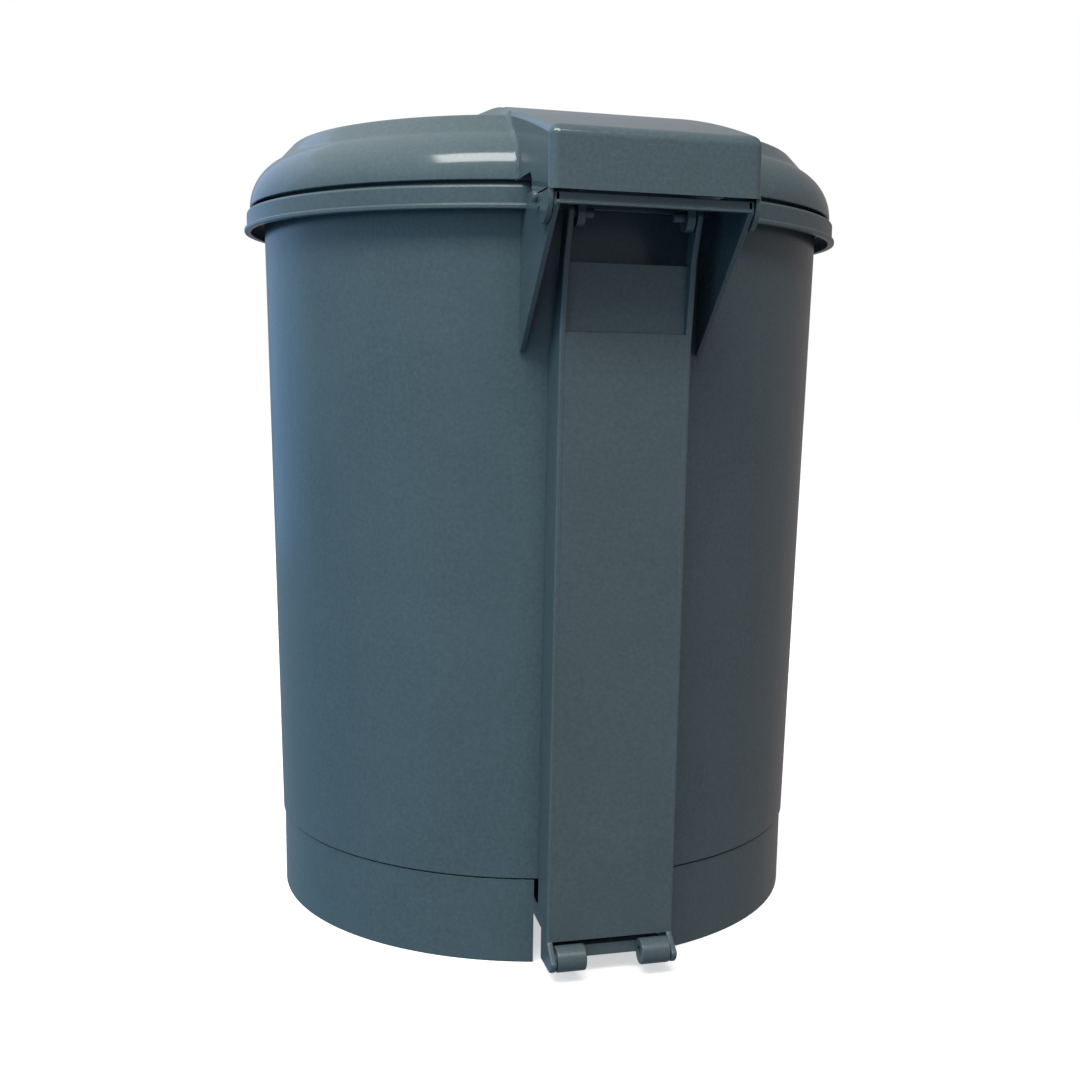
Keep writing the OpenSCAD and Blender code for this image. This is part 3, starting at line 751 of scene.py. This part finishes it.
class BIN_OT_hood(bpy.types.Operator):
    """Makes the rear hood and the flared fillets at its foot"""
    bl_idname = "pedal_bin.hood"
    bl_label = "Rear hood"
    bl_options = {"REGISTER", "UNDO"}

    def execute(self, context):
        notch_z = LID_LOW + 0.5
        floor = [(HOOD_FRONT, notch_z), (HINGE.y - 16, notch_z), (HINGE.y - 12, notch_z - 4),
                 (HINGE.y - 12, HOOD_LOW), (HOOD_Y, HOOD_LOW)]
        solid = slab(floor + hood_roof(0), -HOOD_HALF, HOOD_HALF)
        sizes = context.scene.bin_sizes
        rounded = rounded_hood(solid, sizes.hood_edge / MM)
        inner = BRACKET_HALF + HOOD_GAP
        hollow = slab([(HOOD_FRONT - 1, HOOD_LOW - 9), (HOOD_Y - LID_WALL, HOOD_LOW - 9)]
                      + hood_roof(LID_WALL), -inner, inner)
        dome = turned([(0, LID_LOW - 30), (LID_R - 1.2, LID_LOW - 30)] + lid_section(1.2), 240)
        mesh = carved("lid_hood", [rounded], [hollow, dome])
        piece("lid_hood", mesh, "lid", finish("lid"), ["lid"])
        piece("hood_fillets", mesh_of("hood_fillets", both(self.fillet(sizes))),
              "lid", finish("lid"), ["lid"])
        return {"FINISHED"}

    def fillet(self, sizes):
        """Blend between the lid and the hood's side: a broad shoulder beside the ridge that
        narrows to a small round along the foot of the side wall."""
        flare, foot = sizes.hood_flare / MM, sizes.hood_foot / MM
        stations, across = 90, 16
        y0 = HOOD_FRONT + 14
        y1 = LID_R * math.cos(math.asin(HOOD_HALF / LID_R)) - 0.6
        points = []
        for k in range(stations + 1):
            y = y0 + (y1 - y0) * k / stations
            t = min(max((y - RIDGE_Y + 4) / 24, 0), 1)
            t = t * t * (3 - 2 * t)
            # The flat inner strip covers the rounded edge of the roof beside the ridge
            flat = (1 - t) * sizes.hood_edge / MM
            start = HOOD_HALF - (1 - t)
            width = (flare + 1) * (1 - t) + foot * t
            base = lid_z(math.hypot(start, y))
            rise = max((roof_top(y) - base - 0.05) * (1 - t) + foot * t, 0.03)
            for j in range(across + 1):
                u = j / across
                bend = u * u * (3 - 2 * u) * (1 - t) + u * u * t
                x = start + width * (1 - u)
                points.append((x, y, lid_z(math.hypot(x, y)) - 0.04 * (1 - u) + rise * bend))
            points.append((start - flat - 0.8, y, points[-1][2]))
            points.append((start - flat - 0.8, y, base - 1.2))
            points.append((start + width * 0.6, y, lid_z(math.hypot(start + width, y)) - 1.2))
        ring = across + 4
        faces = []
        for k in range(stations):
            for j in range(ring):
                n = (j + 1) % ring
                faces.append((k * ring + j, k * ring + n, (k + 1) * ring + n, (k + 1) * ring + j))
        faces.append(tuple(range(ring)))
        faces.append(tuple(stations * ring + j for j in reversed(range(ring))))
        return points, faces


def rounded_hood(solid, radius):
    """The hood's block with its roof edges and upright rear corners rounded."""
    points, faces = solid
    work = bmesh.new()
    made = [work.verts.new(p) for p in points]
    for face in faces:
        work.faces.new([made[v] for v in face])
    bmesh.ops.recalc_face_normals(work, faces=work.faces)
    picked = []
    for edge in work.edges:
        a, b = (v.co for v in edge.verts)
        on_side = abs(abs(a.x) - HOOD_HALF) < TINY and abs(a.x - b.x) < TINY
        on_roof = min(a.z, b.z) > HOOD_LOW + HOOD_FACE - 12 and max(a.y, b.y) > HOOD_FRONT + 1
        upright = on_side and min(a.y, b.y) > HOOD_Y - 0.01
        rear = abs(a.z - b.z) < TINY and a.z > HOOD_LOW + 1 and min(a.y, b.y) > HOOD_Y - 0.01
        if upright or rear or (on_side and on_roof):
            picked.append(edge)
    bmesh.ops.bevel(work, geom=picked, offset=radius, offset_type="OFFSET", segments=8,
                    profile=0.5, affect="EDGES", clamp_overlap=True)
    work.verts.ensure_lookup_table()
    work.verts.index_update()
    result = [tuple(v.co) for v in work.verts], [[v.index for v in f.verts] for f in work.faces]
    work.free()
    return result


class BIN_OT_lugs(bpy.types.Operator):
    """Makes the hinge lugs and the lift lugs that hang from the hood"""
    bl_idname = "pedal_bin.lugs"
    bl_label = "Lid lugs"
    bl_options = {"REGISTER", "UNDO"}

    def execute(self, context):
        y0 = HINGE.y + HINGE_LUG_R
        y1 = y0 + TONGUE_REACH
        eye = ([(HINGE.y - 12, HOOD_LOW + 1), (HINGE.y - 12, HINGE.z)]
               + arc(HINGE.y, HINGE.z, HINGE_LUG_R, 180, 300, 16)
               + [(y0, HINGE.z - 5), (y0, TONGUE_LOW + 1), (y0 + 1, TONGUE_LOW)]
               + arc(y1 - TONGUE_ROUND, TONGUE_LOW + TONGUE_ROUND, TONGUE_ROUND, -90, 0, 16)
               + [(y1, HOOD_LOW + 1)])
        bore = rod(-HOOD_HALF - 5, HOOD_HALF + 5, HINGE.y, HINGE.z, STUD_R + PLAY, 0.1)
        lug = [(y, roof_z(y) - LID_WALL / 2) for y in (LIFT.y + LIFT_LUG_R, LIFT.y - LIFT_LUG_R)]
        lug += arc(LIFT.y, LIFT.z, LIFT_LUG_R, 180, 360, 24)
        # The pin slides along the slot as the lid turns through twice this angle
        half_swing = math.radians(34)
        reach = math.hypot(LIFT_BACK, LIFT_DROP) * (1 - math.cos(half_swing)) + 0.2
        slot_r = LIFT_PIN_R + SLOT_PLAY
        lean = math.atan2(LIFT_DROP, LIFT_BACK)
        slot = [(LIFT.y + a * math.cos(lean) - b * math.sin(lean),
                 LIFT.z + a * math.sin(lean) + b * math.cos(lean))
                for a, b in arc(0, 0, slot_r, 90, 270, 16) + arc(reach, 0, slot_r, -90, 90, 16)]
        for side, name in ((1, "left"), (-1, "right")):
            plate = slab(eye, side * (BRACKET_HALF + HOOD_GAP), side * HOOD_HALF)
            piece(f"hinge_lug_{name}", carved("hinge_lug", [plate], [bore]),
                  "lid", finish("lid"), ["lid"], edge=0.8)
            plate = slab(lug, side * LIFT_LUG_IN, side * LIFT_LUG_OUT)
            hole = slab(slot, side * (LIFT_LUG_IN - 1), side * (LIFT_LUG_OUT + 1))
            piece(f"lift_lug_{name}", carved("lift_lug", [plate], [hole]),
                  "lid", finish("lid"), ["lid"], edge=0.5)
        return {"FINISHED"}


class BIN_OT_strap(bpy.types.Operator):
    """Makes the lift strap: web, flanges with their arms, lift pins and foot pegs"""
    bl_idname = "pedal_bin.strap"
    bl_label = "Lift strap"
    bl_options = {"REGISTER", "UNDO"}

    def execute(self, context):
        wall_low = RING_H + SEAM
        front_top = body_y(WEB_TOP, STRAP_HALF) + STRAP_GAP
        flange = (
            arc(FOOT.y, FOOT.z, DISC_R, -90, 0, 12)
            + [(strap_y(STRAP_LOW), STRAP_LOW), (strap_y(WEB_TOP), WEB_TOP - 6),
               (strap_y(WEB_TOP) + 7, WEB_TOP + 40)]
            + arc(LIFT.y, LIFT.z, ARM_R, 0, 180, 16)
            + [(LIFT.y - 14, LIFT.z - 26), (front_top + 8, WEB_TOP), (front_top, WEB_TOP - 8),
               (body_y(wall_low, STRAP_HALF) + STRAP_GAP, wall_low - 16), (FOOT.y - 20, wall_low - 22),
               (FOOT.y - 20, FOOT.z - DISC_R)]
        )
        panel = strap_y(WEB_TOP) - PANEL_SET
        web = [(strap_y(STRAP_LOW) - STRAP_T, STRAP_LOW), (strap_y(STRAP_LOW), STRAP_LOW),
               (strap_y(WEB_TOP), WEB_TOP), (panel, WEB_TOP), (panel + 3, WEB_TOP + PANEL_H),
               (panel + 3 - STRAP_T, WEB_TOP + PANEL_H), (panel - STRAP_T, WEB_TOP - 4),
               (strap_y(WEB_TOP) - STRAP_T, WEB_TOP - 8)]
        piece("strap_web", mesh_of("strap_web", [slab(web, -ARM_IN - 0.8, ARM_IN + 0.8)]),
              "strap", finish("linkage"), ["lift_strap"])
        for side, name in ((1, "left"), (-1, "right")):
            plate = slab(flange, side * ARM_IN, side * STRAP_HALF)
            piece(f"strap_flange_{name}", mesh_of("strap_flange", [plate]),
                  "strap", finish("linkage"), ["lift_strap"], edge=1.0)
        pins = both(rod(LIFT_PIN_IN, ARM_IN + 1, LIFT.y, LIFT.z, LIFT_PIN_R, 1.2),
                    rod(PEG_IN, ARM_IN + 1, FOOT.y, FOOT.z, PEG_R, 0.6))
        piece("strap_pins", mesh_of("strap_pins", pins),
              "strap", finish("linkage"), ["lift_strap"])
        return {"FINISHED"}


class BIN_OT_lever(bpy.types.Operator):
    """Makes the pedal lever with its knuckles, hub, ribs and pedal plate"""
    bl_idname = "pedal_bin.lever"
    bl_label = "Pedal lever"
    bl_options = {"REGISTER", "UNDO"}

    def execute(self, context):
        rear = FOOT.y - KNUCKLE_R - 0.5
        neck = Vector((0, -RING_R + 14, FULCRUM.z + 13))
        slot = Vector((0, -RING_R - 2, RING_H - 10))
        knuckle_out = ARM_IN - 0.5
        adds = [slab(self.plate(rear, neck, 2, 2), -LEVER_HALF, LEVER_HALF)]
        adds += both(slab(self.plate(rear, neck, 5, 6), LEVER_HALF - 3, LEVER_HALF))
        adds.append(slab([(rear - 12, FOOT.z - 2), (rear + 1, FOOT.z - 3), (rear + 1, FOOT.z + 4),
                          (rear - 12, FOOT.z + 3)], -knuckle_out + 1, knuckle_out - 1))
        adds += both(rod(KNUCKLE_IN, knuckle_out, FOOT.y, FOOT.z, KNUCKLE_R, 0.9, 64))
        adds += both(slab([(rear - 1, FOOT.z - 3), (FOOT.y - 1, FOOT.z - 3),
                           (FOOT.y - 1, FOOT.z + 4), (rear - 1, FOOT.z + 4)],
                          KNUCKLE_IN + 0.3, knuckle_out - 0.3))
        adds.append(rod(-CHANNEL_HALF + 1, CHANNEL_HALF - 1, FULCRUM.y, FULCRUM.z, HUB_R, 0.8))
        adds.append(slab([(neck.y + 4, neck.z - 2), (neck.y + 4, neck.z + 2), (slot.y, slot.z),
                          (PEDAL_REAR, PEDAL_TOP - 0.4), (PEDAL_REAR - PEDAL_T, PEDAL_TOP - 0.4),
                          (PEDAL_REAR - PEDAL_T, PEDAL_TOP - PEDAL_T), (slot.y, slot.z - PEDAL_T)],
                         -LEVER_HALF, LEVER_HALF))
        cuts = [rod(-CHANNEL_HALF - 1, CHANNEL_HALF + 1, FULCRUM.y, FULCRUM.z, ROD_R + PLAY,
                    0.1)]
        cuts += both(rod(KNUCKLE_IN - 1, knuckle_out + 1, FOOT.y, FOOT.z, PEG_R + PLAY, 0.1))
        piece("lever_shell", carved("lever_shell", adds, cuts),
              "pedal", finish("linkage"), ["pedal_lever"])
        plate = slab(self.outline(0), PEDAL_TOP - PEDAL_LIP, PEDAL_TOP, "z")
        under = slab(self.outline(3), PEDAL_TOP - PEDAL_LIP - 1, PEDAL_TOP - PEDAL_T, "z")
        piece("pedal_plate", carved("pedal_plate", [plate], [under]),
              "pedal", finish("linkage"), ["pedal_lever"], edge=1.2)
        return {"FINISHED"}

    def plate(self, rear, neck, up, down):
        """Side outline of the lever from its knuckles to its neck."""
        return [(rear, FOOT.z + up), (FULCRUM.y, FULCRUM.z + up), (neck.y, neck.z + up),
                (neck.y, neck.z - down), (FULCRUM.y, FULCRUM.z - down), (rear, FOOT.z - down)]

    def outline(self, t):
        """Outline of the pedal seen from above, t inside, with rounded front corners."""
        w, y0, y1, corner = PEDAL_HALF - t, PEDAL_FRONT + t, PEDAL_REAR - t, PEDAL_ROUND
        return ([(w, y1), (-w, y1)] + arc(-w + corner, y0 + corner, corner, 180, 270, 10)
                + arc(w - corner, y0 + corner, corner, 270, 360, 10))


class BIN_OT_steel(bpy.types.Operator):
    """Gives the screws, the rod and its clips their steel finish"""
    bl_idname = "pedal_bin.steel"
    bl_label = "Steel parts"
    bl_options = {"REGISTER", "UNDO"}

    def execute(self, context):
        for name in ("base_screws", "fulcrum_rod", "rod_clips"):
            mesh = frame["nodes"][name].data
            mesh.materials.clear()
            mesh.materials.append(finish("steel"))
        return {"FINISHED"}


def area_light(name, place, target, size, power, colour):
    """A large soft light that faces a point. Places and sizes in metres, power in watts."""
    data = bpy.data.lights.new(name, "AREA")
    data.shape = "RECTANGLE"
    data.size, data.size_y = size
    data.energy = power
    data.color = colour
    lamp = bpy.data.objects.new(name, data)
    bpy.context.scene.collection.objects.link(lamp)
    lamp.location = place
    lamp.visible_camera = False
    aim = Vector(target) - Vector(place)
    lamp.rotation_euler = aim.to_track_quat("-Z", "Y").to_euler()


class BIN_OT_studio(bpy.types.Operator):
    """Makes the floor, the soft lights, the surroundings and the camera"""
    bl_idname = "pedal_bin.studio"
    bl_label = "Studio"
    bl_options = {"REGISTER", "UNDO"}

    def execute(self, context):
        studio = context.scene.bin_studio
        self.floor(studio)
        self.lights(studio)
        self.surroundings(context.scene)
        self.camera(context.scene)
        return {"FINISHED"}

    def floor(self, studio):
        """Round pale floor, matt, far wider than the view."""
        material, tree, shader, place = new_material("floor_matt_paint")
        shader.inputs["Roughness"].default_value = 0.85
        shader.inputs["Emission Color"].default_value = (1, 1, 1, 1)
        shader.inputs["Emission Strength"].default_value = studio.floor_glow
        # Matt paint put on with a roller, which leaves a faint stipple about 3 mm across
        stipple = node(tree, "ShaderNodeTexNoise", {"Scale": per_mm(3)}, {"Vector": place})
        relief = node(tree, "ShaderNodeBump", {"Strength": 0.05, "Distance": 0.1 * MM},
                      {"Height": stipple.outputs["Fac"]})
        tree.links.new(relief.outputs[0], shader.inputs["Normal"])
        shader.inputs["Base Color"].default_value = (*studio.floor_colour, 1)
        mesh = bpy.data.meshes.new("studio_floor")
        radius, corners = 12, 96
        rim = [(radius * math.cos(a), radius * math.sin(a), 0)
               for a in (2 * math.pi * k / corners for k in range(corners))]
        mesh.from_pydata(rim, [], [list(range(corners))])
        mesh.materials.append(material)
        floor = bpy.data.objects.new("studio_floor", mesh)
        bpy.context.scene.collection.objects.link(floor)
        # The floor throws no light back at the bin, so the bin is lit as on a dark floor
        floor.visible_diffuse = False
        floor.visible_glossy = False

    def lights(self, studio):
        """A large key light above the rear and a cool one at the side."""
        middle = (0, 0.1, 0.3)
        area_light("key", (0.8, 1.9, 3.0), middle, (3.2, 1.05), studio.key_power,
                   studio.key_colour)
        area_light("cool_side", (1.6, -2.1, 1.0), middle, (2.2, 2.4), studio.side_power,
                   studio.side_colour)

    def surroundings(self, scene):
        """Room that the gloss mirrors. The camera itself sees plain white."""
        ceiling_right, ceiling_left = (0.2, 0.2, 0.2, 1), (1.5, 1.6, 1.65, 1)
        wall_right, wall_left = (0.28, 0.25, 0.25, 1), (0.19, 0.4, 0.6, 1)
        world = bpy.data.worlds.new("pale_room")
        world.use_nodes = True
        tree = world.node_tree
        tree.nodes.clear()
        toward = node(tree, "ShaderNodeTexCoord").outputs["Generated"]
        axis = node(tree, "ShaderNodeSeparateXYZ", {}, {0: toward})
        height = node(tree, "ShaderNodeMapRange", {"From Min": -0.05, "From Max": 0.9},
                      {"Value": axis.outputs["Z"]})
        side = node(tree, "ShaderNodeMapRange", {"From Min": -0.5, "From Max": 0.9},
                    {"Value": axis.outputs["X"]})
        # The ceiling is brightest. Seen from the rear, the walls are blue on the left
        ceiling = node(tree, "ShaderNodeMix",
                       {"data_type": "RGBA", 6: ceiling_right, 7: ceiling_left},
                       {0: side.outputs[0]})
        walls = node(tree, "ShaderNodeMix",
                     {"data_type": "RGBA", 6: wall_right, 7: wall_left},
                     {0: side.outputs[0]})
        room_colour = node(tree, "ShaderNodeMix", {"data_type": "RGBA"},
                           {0: height.outputs[0], 6: walls.outputs[2], 7: ceiling.outputs[2]})
        seen = node(tree, "ShaderNodeLightPath").outputs["Is Camera Ray"]
        room = node(tree, "ShaderNodeBackground", {"Strength": 1.0},
                    {"Color": room_colour.outputs[2]})
        white = node(tree, "ShaderNodeBackground", {"Color": (1, 1, 1, 1), "Strength": 1.0})
        mix = node(tree, "ShaderNodeMixShader", {},
                   {0: seen, 1: room.outputs[0], 2: white.outputs[0]})
        node(tree, "ShaderNodeOutputWorld", {}, {"Surface": mix.outputs[0]})
        scene.world = world
        scene.view_settings.view_transform = "Standard"
        scene.view_settings.look = "None"

    def camera(self, scene):
        """Camera behind the bin, a little to one side, looking slightly down. Its distance
        and height are in metres, and its four angles in radians."""
        data = bpy.data.cameras.new("camera")
        data.sensor_width = 36
        data.lens = 45.872
        data.shift_x, data.shift_y = -0.0446, -0.0108
        data.clip_start, data.clip_end = 0.05, 100
        camera = bpy.data.objects.new("camera", data)
        scene.collection.objects.link(camera)
        round_by, distance, height = math.radians(13.3), 0.97686, 0.3497
        pan, tip, roll = 0.036892, 0.105935, 0.0171877
        place = Vector((distance * math.sin(round_by), distance * math.cos(round_by), height))
        heading = round_by + pan
        look = Vector((-math.sin(heading) * math.cos(tip), -math.cos(heading) * math.cos(tip),
                       -math.sin(tip)))
        right = look.cross(Vector((0, 0, 1))).normalized()
        up = right.cross(look)
        across = right * math.cos(roll) + up * math.sin(roll)
        upright = up * math.cos(roll) - right * math.sin(roll)
        turn = Matrix((across, upright, -look)).transposed()
        camera.matrix_world = Matrix.Translation(place) @ turn.to_4x4()
        scene.camera = camera


class BIN_PT_panel(bpy.types.Panel):
    """Lists the bin's sizes, colours, studio settings and operators"""
    bl_idname = "BIN_PT_panel"
    bl_label = "Pedal bin"
    bl_space_type = "VIEW_3D"
    bl_region_type = "UI"
    bl_category = "Pedal bin"

    def draw(self, context):
        scene = context.scene
        for group in (scene.bin_sizes, scene.bin_colours, scene.bin_studio):
            for key in group.bl_rna.properties.keys():
                if key not in ("rna_type", "name"):
                    self.layout.prop(group, key)
        for maker in MAKERS:
            self.layout.operator(maker.bl_idname)


MAKERS = (BIN_OT_bucket, BIN_OT_bracket, BIN_OT_base_ring, BIN_OT_lid, BIN_OT_hood, BIN_OT_lugs,
          BIN_OT_strap, BIN_OT_lever, BIN_OT_steel, BIN_OT_studio)
CLASSES = (BinSizes, BinColours, StudioSettings, *MAKERS, BIN_PT_panel)


def register():
    """Registers the classes and gives the scene its properties."""
    for kind in CLASSES:
        bpy.utils.register_class(kind)
    bpy.types.Scene.bin_sizes = PointerProperty(type=BinSizes)
    bpy.types.Scene.bin_colours = PointerProperty(type=BinColours)
    bpy.types.Scene.bin_studio = PointerProperty(type=StudioSettings)


def unregister():
    """Undoes register."""
    del bpy.types.Scene.bin_studio
    del bpy.types.Scene.bin_colours
    del bpy.types.Scene.bin_sizes
    for kind in reversed(CLASSES):
        bpy.utils.unregister_class(kind)


def main():
    """Makes every piece in order."""
    register()
    for maker in MAKERS:
        group, name = maker.bl_idname.split(".")
        getattr(getattr(bpy.ops, group), name)()


if __name__ == "__main__":
    main()
